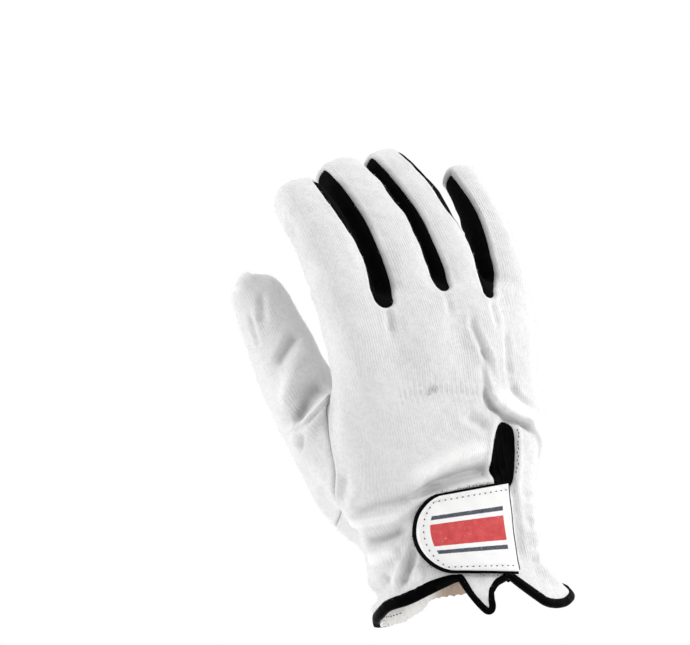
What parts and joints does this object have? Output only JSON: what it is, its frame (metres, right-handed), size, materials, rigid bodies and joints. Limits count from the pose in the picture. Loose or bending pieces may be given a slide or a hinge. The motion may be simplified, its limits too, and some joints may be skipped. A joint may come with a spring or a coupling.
{
  "type": "sports inner glove",
  "caption": "White knitted cotton inner glove for the right hand, with black strips between the fingers, a black bound cuff and a closing tab at the wrist.",
  "frame": {"origin": "middle of the opening at the cuff, where the wrist passes through", "axes": "+Z from the cuff to the fingertips, -Y out of the back of the hand, +Y out of the palm, -X to the thumb side, +X to the little finger"},
  "size_m": [0.1164, 0.0832, 0.2093],
  "materials": {
    "white_knit": "matt knitted cotton with fine wales",
    "black_knit": "matt black knit",
    "black_binding": "smooth folded binding with a soft sheen",
    "tab_face": "close woven printed label cloth",
    "cream_tape": "plain woven cotton tape"
  },
  "bodies": {
    "root": {"hand_shell": "white_knit", "thumb_shell": "white_knit", "fourchette_index_middle": "black_knit", "fourchette_middle_ring": "black_knit", "fourchette_ring_little": "black_knit", "wrist_gusset": "black_knit", "cuff_binding": "black_binding", "hem_tape": "cream_tape", "strap_backing": "black_knit", "strap_patch": "tab_face"}
  },
  "joints": []
}
